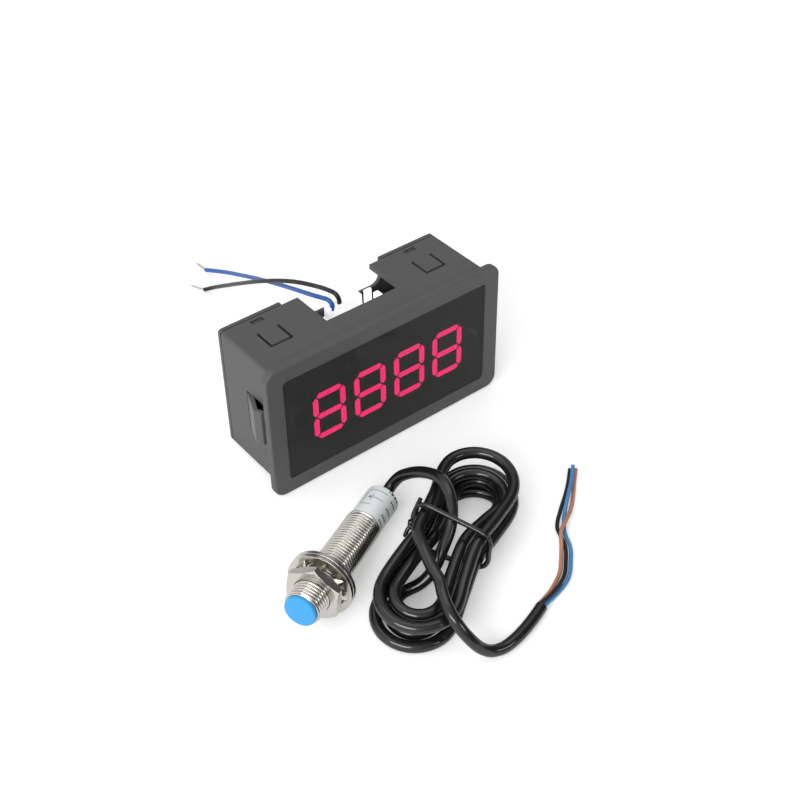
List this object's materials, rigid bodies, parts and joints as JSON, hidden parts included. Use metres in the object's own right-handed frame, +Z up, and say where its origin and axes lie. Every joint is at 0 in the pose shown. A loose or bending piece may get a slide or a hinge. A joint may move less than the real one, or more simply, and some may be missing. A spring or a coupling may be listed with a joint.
{
  "type": "digital tachometer",
  "caption": "Panel tachometer with lit digits behind a smoked lens, a plug-in power lead, and a threaded barrel pickup sensor with lock nut and washers on a long tied cable.",
  "frame": {"origin": "middle of the underside of the box round the meter and the sensor, at bench level, the free cable left out", "axes": "+X across the meter's face to the viewer's right, +Y from the face to the rear of the meter, +Z up from the bench"},
  "size_m": [0.1024, 0.1753, 0.043],
  "materials": {
    "housing_plastic": "fine matt moulded grey",
    "smoked_acrylic": "polished smoked sheet",
    "display_plastic": "matt black",
    "segment_resin": "lit pink-red resin",
    "board_laminate": "solder-masked laminate",
    "chip_epoxy": "moulded epoxy",
    "can_aluminium": "drawn can",
    "nylon_white": "natural nylon",
    "tinned_brass": "tinned",
    "nickel_plate": "bright nickel plate on brass",
    "cap_blue": "satin",
    "label_film": "printed film under clear sleeve",
    "cable_jacket": "glossy extruded jacket",
    "wire_blue": "extruded insulation",
    "wire_black": "extruded insulation",
    "wire_brown": "extruded insulation"
  },
  "bodies": {
    "meter_and_sensor": {"front_housing": "housing_plastic", "rear_cover": "housing_plastic", "smoked_lens": "smoked_acrylic", "display_block": "display_plastic", "digit_1": "segment_resin", "digit_2": "segment_resin", "digit_3": "segment_resin", "digit_4": "segment_resin", "main_board": "board_laminate", "hall_board": "board_laminate", "microcontroller": "chip_epoxy", "voltage_regulator": "chip_epoxy", "hall_chip": "chip_epoxy", "input_capacitor": "can_aluminium", "power_header": "nylon_white", "sensor_header": "nylon_white", "header_pin_1": "tinned_brass", "header_pin_2": "tinned_brass", "header_pin_3": "tinned_brass", "header_pin_4": "tinned_brass", "header_pin_5": "tinned_brass", "header_pin_6": "tinned_brass", "sensor_barrel": "nickel_plate", "sensing_face_cap": "cap_blue", "label_sleeve": "label_film", "rear_plug": "cable_jacket", "sensor_cable_lead": "cable_jacket", "sensor_cable_hank": "cable_jacket", "sensor_cable_tail": "cable_jacket", "cable_tie": "cable_jacket", "core_blue": "wire_blue", "core_black": "wire_black", "core_brown": "wire_brown"},
    "left_clip": {"panel_clip_left": "housing_plastic"},
    "right_clip": {"panel_clip_right": "housing_plastic"},
    "tongue_top_left": {"top_tongue_left": "housing_plastic"},
    "tongue_top_right": {"top_tongue_right": "housing_plastic"},
    "tongue_bottom_left": {"bottom_tongue_left": "housing_plastic"},
    "tongue_bottom_right": {"bottom_tongue_right": "housing_plastic"},
    "power_lead": {"power_plug": "nylon_white", "power_wire_blue": "wire_blue", "power_wire_black": "wire_black", "power_wire_tip_blue": "tinned_brass", "power_wire_tip_black": "tinned_brass"},
    "washers": {"toothed_washer": "nickel_plate", "plain_washer": "nickel_plate"},
    "nut": {"lock_nut": "nickel_plate"}
  },
  "joints": [
    {"name": "left_clip_flex", "type": "hinge", "parent": "meter_and_sensor", "child": "left_clip", "pos_m": [-0.02438, 0.02352, 0.02043], "axis": [0, 0.081, 0.9967], "range_deg": [0, 15], "stiffness_Nm_per_rad": 0.05},
    {"name": "right_clip_flex", "type": "hinge", "parent": "meter_and_sensor", "child": "right_clip", "pos_m": [0.04752, 0.02352, 0.02043], "axis": [0, 0.081, 0.9967], "range_deg": [-15, 0], "stiffness_Nm_per_rad": 0.05},
    {"name": "tongue_top_left_flex", "type": "hinge", "parent": "meter_and_sensor", "child": "tongue_top_left", "pos_m": [-0.01463, 0.02882, 0.03876], "axis": [1, 0, 0], "range_deg": [-10, 0], "stiffness_Nm_per_rad": 0.03},
    {"name": "tongue_top_right_flex", "type": "hinge", "parent": "meter_and_sensor", "child": "tongue_top_right", "pos_m": [0.03777, 0.02882, 0.03876], "axis": [1, 0, 0], "range_deg": [-10, 0], "stiffness_Nm_per_rad": 0.03},
    {"name": "tongue_bottom_left_flex", "type": "hinge", "parent": "meter_and_sensor", "child": "tongue_bottom_left", "pos_m": [-0.01463, 0.02579, 0.00149], "axis": [1, 0, 0], "range_deg": [0, 10], "stiffness_Nm_per_rad": 0.03},
    {"name": "tongue_bottom_right_flex", "type": "hinge", "parent": "meter_and_sensor", "child": "tongue_bottom_right", "pos_m": [0.03777, 0.02579, 0.00149], "axis": [1, 0, 0], "range_deg": [0, 10], "stiffness_Nm_per_rad": 0.03},
    {"name": "power_plug_pull", "type": "slide", "parent": "meter_and_sensor", "child": "power_lead", "axis": [0, 0.081, 0.9967], "range_m": [0, 0.009]},
    {"name": "washers_travel", "type": "slide", "parent": "meter_and_sensor", "child": "washers", "axis": [-0.888, -0.4427, 0.1242], "range_m": [0, 0.004]},
    {"name": "lock_nut_turn", "type": "hinge", "parent": "washers", "child": "nut", "pos_m": [-0.04251, -0.03016, 0.00959], "axis": [-0.888, -0.4427, 0.1242], "range_deg": [0, 1440]}
  ],
  "couplings": [
    {"joint": "lock_nut_turn", "follows": "washers_travel", "rad_per_m": 6283.2}
  ]
}
